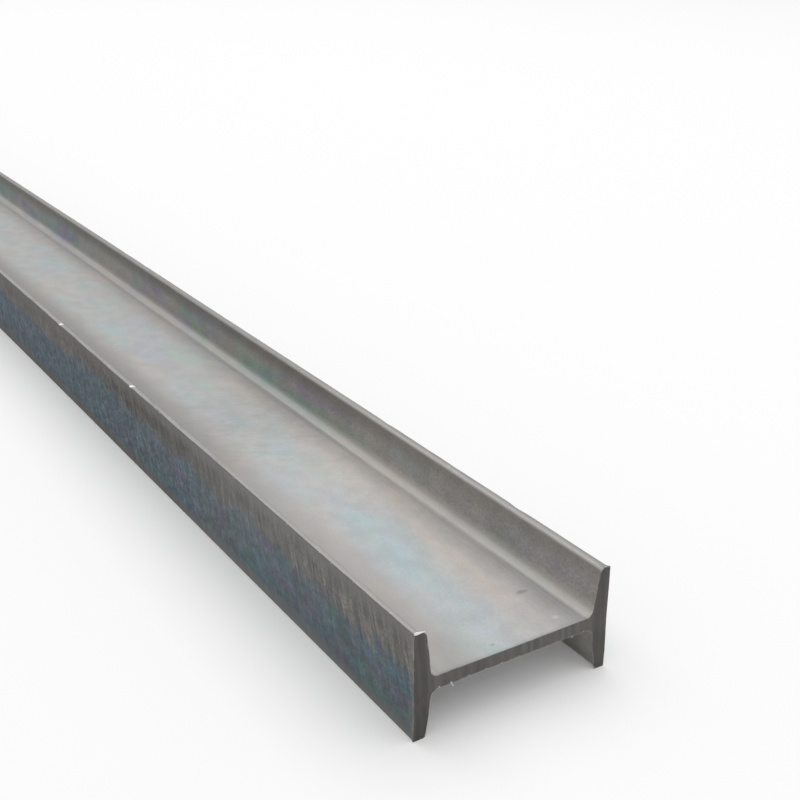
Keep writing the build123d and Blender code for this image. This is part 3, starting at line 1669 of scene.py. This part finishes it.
    def _web_sides(self, spot: Spot, colour: Feed) -> Socket:
        """Darkens the web towards both roots, partly duller scale and partly painted shade from the flanges,
        with more painted shade on the left, where the left flange keeps the light off, most away from the
        near end.

        Args:
            spot: The place that is coloured.
            colour: The web's colour so far.

        Returns:
            The colour with its darker sides.
        """
        bench = spot.bench
        # Towards both roots: partly duller scale, partly painted shade where the flanges keep light off the
        # web.
        most = bench.level(spot.around(0.32, 0.26), 0.18, 0.03)
        both = bench.span(bench.unsigned(spot.across), 46 * MM, self.section.web_flat, most)
        colour = bench.coated(both, colour, self.shade)
        # Painted shade on the left side of the web, which the left flange keeps from the light. It grows
        # away from the near end and is darkened further from 0.3 m on.
        most = bench.level(spot.stretch(0.20, 0.80), 0.62, 0.92)
        left = bench.span(spot.across, -14 * MM, -58 * MM, most)
        colour = bench.coated(left, colour, self.shade)
        return bench.varied(colour, bench.times(left, spot.stretch(0.30, 0.50)), 1.0, 0.86)

    def _web_marks(self, spot: Spot, colour: Feed) -> Socket:
        """Lays the small marks on the web's upper face.

        Args:
            spot: The place that is coloured.
            colour: The web's colour so far.

        Returns:
            The colour with the marks.
        """
        bench = spot.bench
        upper = bench.span(spot.up, 0.0, 2 * MM)
        ragged = bench.times(spot.fine, 0.6)
        for mark in self.marks:
            along = bench.over(bench.minus(spot.along, mark.along), mark.length)
            across = bench.over(bench.minus(spot.across, mark.across), mark.width)
            square = bench.plus(bench.times(along, along), bench.times(across, across))
            share = bench.span(bench.plus(square, ragged), 1.5, 0.1, upper)
            colour = bench.coated(bench.times(share, 0.55), colour, mark.colour)
        return colour

    def _root_lines(self, spot: Spot, colour: Feed) -> Socket:
        """Draws a painted shadow strip and a painted highlight line along each root, and fine threads beside
        them.

        Args:
            spot: The place that is coloured.
            colour: The web's colour so far.

        Returns:
            The colour with the lines.
        """
        bench = spot.bench
        flat = self.section.web_flat
        near = spot.stretch(0.34, 0.12)
        across = bench.unsigned(spot.across)
        waver = spot.cloud(self.waver)
        # Painted shadow: a darker strip on the web beside each root, where the flange shades it.
        strip = bench.ridge(bench.plus(across, bench.drift(waver, 6 * MM)), flat - 2.0 * MM, 6.5 * MM)
        colour = bench.coated(bench.times(strip, bench.level(near, 0.27, 0.12)), colour, self.shade)
        # Painted highlight: a bright line on the rounding of each root, where it catches the light.
        line = bench.ridge(across, flat + 6.0 * MM, 7.0 * MM)
        drawn = bench.toned(linear(self.root_highlight), bench.level(near, 1.0, 0.94))
        colour = bench.blend(bench.times(line, bench.level(waver, 0.60, 1.0)), colour, drawn)
        threads = bench.span(spot.cloud(self.threads), 0.32, 0.68)
        beside = bench.ridge(across, flat - 1.0 * MM, 15 * MM)
        return bench.blend(beside, colour, bench.varied(colour, threads, 0.91, 1.06))

    def _inner_colour(self, spot: Spot) -> tuple[Socket, Socket]:
        """Colours the inner faces of the flanges: speckled warm grey, with flecks near the edges, lighter
        low by the root as a painted highlight, and darker in the root's crease as painted shade.

        Args:
            spot: The place that is coloured.

        Returns:
            The colour and the mask of the flecks.
        """
        bench = spot.bench
        away = spot.stretch(0.28, 0.60)
        height = bench.unsigned(spot.up)
        low = bench.span(height, 46 * MM, 28 * MM)
        foot = bench.span(height, bench.level(away, 20 * MM, 17 * MM), bench.level(away, 10 * MM, 9 * MM))
        strength = bench.times(bench.level(away, 0.25, 1.0), low)
        colour = spot.film(self.inner, 0.6, bench.times(strength, bench.level(foot, 1.0, 0.5)))
        dusk = bench.level(spot.stretch(0.20, 0.56), 0.80, 0.53)
        colour = bench.varied(colour, low, dusk, bench.level(away, 1.0, 0.96))
        colour = bench.eased(colour, spot.fine, foot, (0.79, 1.19), (0.95, 1.05))
        colour = bench.eased(colour, spot.broad, foot, (0.91, 1.09), (0.97, 1.03))
        # Painted light by the root: the inner face lighter low down as a painted highlight, and darker in
        # the root's crease as painted shade.
        lift = bench.level(foot, 1.0, bench.level(away, 1.40, 1.45))
        crease_shade = bench.span(height, 7.6 * MM, 5.6 * MM)
        colour = bench.toned(colour, bench.minus(lift, bench.times(crease_shade, 0.22)))
        outward = bench.span(height, 10 * MM, 46 * MM)
        crowd = bench.times(outward, bench.span(spot.cloud(self.clusters), 0.42, 0.66))
        flecks = spot.flecks(self.inner_fleck, bench.level(crowd, 0.30, 0.80))
        return bench.coated(bench.times(flecks, 0.6), colour, self.fleck), flecks

    def _outer_colour(self, spot: Spot) -> Socket:
        """Colours the outer faces: dark iridescent film under a brown band with a feathered fringe.

        Args:
            spot: The place that is coloured.

        Returns:
            The outer faces' colour.
        """
        bench = spot.bench
        hairs = spot.cloud(self.hairs)
        share = bench.over(spot.up, self.section.half_flange)
        band = self._outer_band(spot, hairs, share)
        streaked = bench.blend(bench.span(hairs, 0.34, 0.62), linear(self.band_dark), linear(self.band))
        colour = bench.blend(band, self._outer_film(spot), streaked)
        below = bench.times(spot.stretch(0.04, 0.60), bench.span(share, 1.0, 0.66))
        dim = bench.level(spot.stretch(0.60, 0.85), 0.60, 0.86)
        colour = bench.varied(colour, bench.times(below, band), 1.0, dim)
        colour = bench.varied(colour, spot.stretch(0.34, 0.60), 1.0, 1.34)
        seared = bench.span(spot.along, 12 * MM, 1 * MM, 0.55)
        colour = bench.coated(seared, colour, self.band)
        calm = spot.stretch(0.50, 0.95)
        brush = bench.span(hairs, 0.30, 0.70)
        colour = bench.eased(colour, brush, calm, (0.76, 1.24), (0.94, 1.06))
        colour = bench.eased(colour, spot.fine, calm, (0.62, 1.34), (0.80, 1.18))
        colour = bench.varied(colour, spot.broad, 0.82, 1.18)
        flecks = spot.flecks(self.outer_fleck, 0.22)
        return bench.coated(bench.times(flecks, 0.45), colour, self.fleck)

    def _outer_film(self, spot: Spot) -> Socket:
        """Lays the dappled film of the outer faces, iridescent by the near end and slate further along.

        Args:
            spot: The place that is coloured.

        Returns:
            The film's colour.
        """
        bench = spot.bench
        film = spot.film(self.outer, 0.3, 0.95)
        film = bench.coated(bench.times(spot.stretch(0.36, 0.62), 0.74), film, self.slate)
        patchy = spot.around(0.42, 0.22)
        dapples = bench.span(spot.cloud(self.dapples), 0.32, 0.68)
        return bench.eased(film, dapples, patchy, (0.78, 1.16), (0.68, 1.28))

    def _outer_band(self, spot: Spot, hairs: Feed, share: Feed) -> Socket:
        """Works out where the brown band lies, along the upper edge and thinner along the lower one.

        Args:
            spot: The place that is coloured.
            hairs: Fine strokes of its fringe.
            share: Height from the middle of the flange, as a share of half its width.

        Returns:
            The band's mask.
        """
        bench = spot.bench
        stray = bench.plus(bench.times(hairs, 0.8), bench.times(spot.cloud(self.tufts), 0.9))
        stray = bench.plus(stray, bench.times(spot.cloud(self.swing), 0.5))
        middle = bench.level(spot.stretch(0.36, 0.62), 1.1, 1.26)
        edge = bench.plus(share, bench.minus(stray, middle))
        return bench.most(bench.span(edge, 0.10, 0.42), bench.span(edge, -0.80, -1.10, 0.7))

    def _edge_colour(self, spot: Spot, colour: Feed) -> tuple[Socket, Socket]:
        """Rubs the flange edges pale, most by the near end on the left, lays a painted highlight along the
        toes, and adds small bare chips and scrapes, painted near white as glints.

        Args:
            spot: The place that is coloured.
            colour: The colour so far.

        Returns:
            The colour with its rubbed edges, and the mask of the bare chips.
        """
        bench = spot.bench
        edge = bench.mask(Mask.EDGE)
        left = bench.span(spot.across, 0.05, -0.05)
        away = bench.most(spot.stretch(0.06, 0.36), bench.minus(1.0, left))
        crest = bench.times(edge, bench.minus(1.0, bench.mask(Mask.OUTER)))
        rubs = bench.sized(spot.place, self.rub)
        rubbed = spot.effects.wear(bench, crest, rubs, bench.level(away, 0.54, 0.42))
        colour = bench.coated(bench.times(edge, 0.9), colour, self.edge)
        colour = bench.coated(bench.times(rubbed, bench.level(left, 0.62, 0.95)), colour, self.rubbed)
        # Painted highlight along the inner half of the toes, weaker away from the near end.
        gleam = bench.level(spot.stretch(0.30, 0.65), 0.85, 0.42)
        colour = bench.coated(bench.times(bench.mask(Mask.TOE), gleam), colour, self.toe)
        # Bare chips and scrapes on the edges, painted near white as glints.
        breaks = bench.sized(spot.place, self.chip_break, shift=self.chip_start)
        chips = spot.effects.wear(bench, edge, breaks, 0.0)
        upper = bench.times(bench.times(crest, left), bench.span(spot.up, 0.02, 0.04))
        ragged = bench.plus(spot.along, bench.times(spot.fine, 5 * MM))
        for scrape in self.scrapes:
            bared = bench.times(bench.ridge(ragged, scrape, self.scrape_reach), upper)
            chips = bench.most(chips, bench.span(bared, 0.25, 0.60))
        return bench.coated(chips, colour, self.chip), chips


@dataclass(frozen=True)
class SawnSteel:
    """The finish of the cut faces: dull dark steel with the arcs of the saw's teeth.

    Attributes:
        section: The section that was sawn.
        pivot: The saw's axle, across and up from the floor.
        ground: The face's main colour.
        dark: Colour of the deep scores.
        bright: Colour of fresh scratches and of the rim, which is partly a painted highlight.
        brown: Colour of the first bloom of rust.
        fleck: Colour of the dark specks.
        broad_scores: How many broad scores there are to a metre.
        fine_scores: How many fine ones there are.
        waver: How many wavers of the scores there are to a metre, and how far they go.
        blooms: How many patches of bloom there are to a metre.
        grain: Size of the fine grain.
        speck: Size of the dark specks.
        rim_break: Size of the breaks in the bright rim.
        scorch: How far to both sides of a root the steel goes from light to scorched.
    """

    section: RolledSection
    pivot: tuple[float, float]
    ground: Colour = (0.402, 0.394, 0.385)
    dark: Colour = (0.346, 0.337, 0.328)
    bright: Colour = (0.600, 0.592, 0.580)
    brown: Colour = (0.402, 0.375, 0.352)
    fleck: Colour = (0.250, 0.240, 0.232)
    broad_scores: float = 150.0
    fine_scores: float = 900.0
    waver: tuple[float, float] = (70.0, 3.0 * MM)
    blooms: float = 45.0
    grain: Point = (1.8 * MM, 1.6 * MM, 6.0 * MM)
    speck: Point = (3 * MM, 3 * MM, 4 * MM)
    rim_break: Point = (6 * MM, 6 * MM, 6 * MM)
    scorch: float = 6 * MM

    def make(self, effects: Effects) -> bpy.types.Material:
        """Builds the material.

        Args:
            effects: The shared node groups.

        Returns:
            The material.
        """
        material, bench, shader = blank_material("sawn_steel")
        place = bench.place()
        line = self._arcs(bench, place)
        broad = bench.scores(line, self.broad_scores)
        fine = bench.scores(line, self.fine_scores)
        specks, mottling, relief = effects.grain(bench, place, self.grain)
        colour = bench.blend(bench.span(broad, 0.32, 0.68), linear(self.dark), linear(self.ground))
        bloom = bench.span(bench.noise(place, self.blooms, 3.0), 0.48, 0.66, 0.6)
        colour = bench.coated(bloom, colour, self.brown)
        scratch = bench.times(bench.span(fine, 0.60, 0.78), mottling)
        colour = bench.coated(bench.times(scratch, 0.35), colour, self.bright)
        colour = bench.varied(colour, specks, 0.88, 1.12)
        colour = bench.varied(colour, mottling, 0.90, 1.10)
        flecks = effects.flecks(bench, place, self.speck, 0.30)
        colour = bench.coated(bench.times(flecks, 0.6), colour, self.fleck)
        root = self.section.root_across
        across = bench.unsigned(bench.split(place)[1])
        scorched = bench.span(across, root - self.scorch, root + self.scorch)
        colour = bench.varied(colour, scorched, 1.0, 0.70)
        # Bright rim along the cut's edges: worn steel, and partly a painted highlight.
        worn = effects.wear(bench, bench.mask(Mask.RIM), bench.sized(place, self.rim_break), 0.32)
        height = bench.plus(bench.times(broad, 0.5), bench.times(fine, 0.25))
        height = bench.plus(height, bench.times(relief, 0.8))
        bench.fill(shader, {
            "Base Color": bench.coated(bench.times(worn, 0.7), colour, self.bright),
            "Roughness": bench.level(specks, 0.44, 0.60),
            "Metallic": 0.45,
            "Normal": bench.bump(height, 0.35, 0.4 * MM),
        })
        return material

    def _arcs(self, bench: NodeBench, place: Feed) -> Socket:
        """Measures how far a place is from the saw's axle, with a little waver.

        Args:
            bench: Bench of the material.
            place: The place on the object.

        Returns:
            The distance, which is the same along each arc of the teeth.
        """
        clouds, reach = self.waver
        away = bench.moved(place, (0.0, -self.pivot[0], -self.pivot[1]))
        flat = bench.add("ShaderNodeVectorMath", {0: away, 1: (0.0, 1.0, 1.0)}, operation="MULTIPLY")
        return bench.plus(bench.length(flat.outputs[0]), bench.times(bench.noise(place, clouds, 3.0), reach))


@dataclass(frozen=True)
class BareSteel:
    """The finish of the burrs: torn steel, near white on top of the flanges as a painted glint, and darker
    below the web as painted shade.

    Attributes:
        rest_height: Height of the middle of the web above the floor.
        bright: Its colour on top of the flanges, near white as a painted glint.
        dull: Its colour below the web, darker as painted shade.
        grain: Size of the fine grain.
        rise: Height over which it goes from the painted shade to the painted glint, from the middle of the
            web.
    """

    rest_height: float
    bright: Colour = (0.97, 0.965, 0.955)
    dull: Colour = (0.60, 0.59, 0.58)
    grain: Point = (1.2 * MM, 1.2 * MM, 1.2 * MM)
    rise: float = 40 * MM

    def make(self, effects: Effects) -> bpy.types.Material:
        """Builds the material.

        Args:
            effects: The shared node groups.

        Returns:
            The material.
        """
        material, bench, shader = blank_material("bare_steel")
        place = bench.place()
        specks, _, relief = effects.grain(bench, place, self.grain)
        # Painted light: the burrs near white on top of the flanges as a painted glint, and darker below the
        # web as painted shade.
        upper = bench.span(bench.split(place)[2], self.rest_height, self.rest_height + self.rise)
        tone = bench.level(upper, bench.times(specks, 0.55), bench.level(specks, 0.70, 1.0))
        bench.fill(shader, {
            "Base Color": bench.blend(tone, linear(self.dull), linear(self.bright)),
            "Roughness": bench.level(tone, 0.45, 0.28),
            "Metallic": 0.5,
            "Normal": bench.bump(relief, 0.3, 0.2 * MM),
        })
        return material


@dataclass(frozen=True)
class Studio:
    """The plain pale floor, the soft light and the camera.

    Attributes:
        near_end: Where the middle of the near end touches the floor.
        floor_radius: Radius of the round floor.
        floor_sides: How many straight sides stand for its round rim.
        floor_colour: The floor's colour.
        sky: Strength of the even light from all round.
        backdrop: Strength of the backdrop where it is seen.
        lamp_power: Power of the broad lamp overhead, in watts.
        lamp_size: The lamp's length and width.
        lamp_place: The middle of the lamp.
        floor_lift: How much the floor is lifted towards white where it is seen, under the lamp and far away.
        lift_reach: How far from under the lamp the lift is full.
        camera_from_end: The camera's place, from the near end.
        camera_turn: How far the camera is turned left from looking along +Y, in degrees.
        camera_tilt: How far it looks down, in degrees.
        lens: Its focal length in millimetres.
        sight: The nearest and the furthest that it sees.
    """

    near_end: Point
    floor_radius: float = 150.0
    floor_sides: int = 128
    floor_colour: Colour = (0.955, 0.955, 0.955)
    sky: float = 0.42
    backdrop: float = 0.70
    lamp_power: float = 860.0
    lamp_size: tuple[float, float] = (21.0, 12.4)
    lamp_place: Point = (0.0, 1.7, 7.6)
    floor_lift: tuple[float, float] = (0.09, 0.315)
    lift_reach: float = 18.0
    camera_from_end: Point = (0.6888, -0.5480, 0.6464)
    camera_turn: float = 57.743
    camera_tilt: float = 22.732
    lens: float = 55.7
    sight: tuple[float, float] = (0.05, 200.0)

    def build(self) -> None:
        """Makes the floor, the light and the camera."""
        self._floor()
        self._light()
        self._camera()

    def _seen(self, bench: NodeBench) -> Socket:
        """Gives 1 where the camera sees a surface, itself or mirrored, and 0 where it only lights others."""
        rays = bench.add("ShaderNodeLightPath").outputs
        seen = bench.most(rays["Is Camera Ray"], rays["Is Glossy Ray"])
        return bench.most(seen, rays["Is Transmission Ray"])

    def _floor(self) -> None:
        """Lays the round floor, pale as far as the backdrop."""
        mesh = bpy.data.meshes.new("floor")
        angles = np.linspace(0, 2 * math.pi, self.floor_sides, endpoint=False)
        rim = self.floor_radius * np.stack([np.cos(angles), np.sin(angles), np.zeros(len(angles))], axis=1)
        mesh.from_pydata(rim.tolist(), [], [tuple(range(len(rim)))])
        material, bench, shader = blank_material("floor_paint")
        aside = bench.moved(bench.place(), (-self.lamp_place[0], -self.lamp_place[1], 0.0))
        aside = bench.sized(aside, (self.lamp_size[0] / self.lamp_size[1], 1.0, 1.0))
        lift = bench.level(bench.span(bench.length(aside), 0.0, self.lift_reach), *self.floor_lift)
        bench.fill(shader, {
            "Base Color": linear(self.floor_colour),
            "Roughness": 0.9,
            "Specular IOR Level": 0.1,
            "Emission Color": (1.0, 1.0, 1.0, 1.0),
            "Emission Strength": bench.times(self._seen(bench), lift),
        })
        mesh.materials.append(material)
        floor = put_in_scene("floor", mesh)

    def _light(self) -> None:
        """Hangs the broad lamp and sets the even light from all round."""
        world = bpy.data.worlds.new("studio")
        world.use_nodes = True
        bench = NodeBench(world.node_tree)
        strength = bench.level(self._seen(bench), self.sky, self.backdrop)
        background = world.node_tree.nodes["Background"]
        bench.fill(background, {"Color": (1.0, 1.0, 1.0, 1.0), "Strength": strength})
        bpy.context.scene.world = world
        light = bpy.data.lights.new("overhead", "AREA")
        light.shape = "RECTANGLE"
        light.size, light.size_y = self.lamp_size
        light.energy = self.lamp_power
        lamp = put_in_scene("overhead", light)
        lamp.location = self.lamp_place
        lamp.visible_camera = False

    def _camera(self) -> None:
        """Sets the camera at the photograph's viewing angle."""
        lens = bpy.data.cameras.new("camera")
        lens.lens = self.lens
        lens.clip_start, lens.clip_end = self.sight
        camera = put_in_scene("camera", lens)
        camera.location = Vector(self.near_end) + Vector(self.camera_from_end)
        tilt, turn = math.radians(self.camera_tilt), math.radians(self.camera_turn)
        camera.rotation_euler = (math.pi / 2 - tilt, 0.0, turn)
        bpy.context.scene.camera = camera


def main() -> None:
    """Builds the beam, dresses it and sets up the studio."""
    logging.basicConfig(level=logging.INFO, format="%(name)s: %(message)s")
    bpy.context.scene.view_settings.view_transform = "Standard"
    low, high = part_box(BEAM_NODE)
    section = RolledSection(depth=high[1] - low[1], flange_width=high[2] - low[2])
    half_length = (high[0] - low[0]) / 2
    rest_height = (low[2] + high[2]) / 2
    effects = Effects()
    beam = BeamSkin(section, half_length, rest_height)
    skin = beam.build()
    pivot = beam.cuts[BeamEnd.NEAR].pivot
    sawn = SawnSteel(section, (pivot[0], pivot[1] + rest_height))
    scale = MillScale(section, half_length, rest_height)
    beam.dress(skin, scale.make(effects), sawn.make(effects))
    log.info("%s: %d faces", skin.name, len(skin.data.polygons))
    saw_burrs = SawBurrs(section, half_length, rest_height)
    burrs = saw_burrs.build()
    saw_burrs.dress(burrs, BareSteel(rest_height).make(effects))
    log.info("%s: %d faces", burrs.name, len(burrs.data.polygons))
    Studio((high[0], 0.0, 0.0)).build()
    log.info("floor, light and camera are set")


if __name__ == "__main__":
    main()
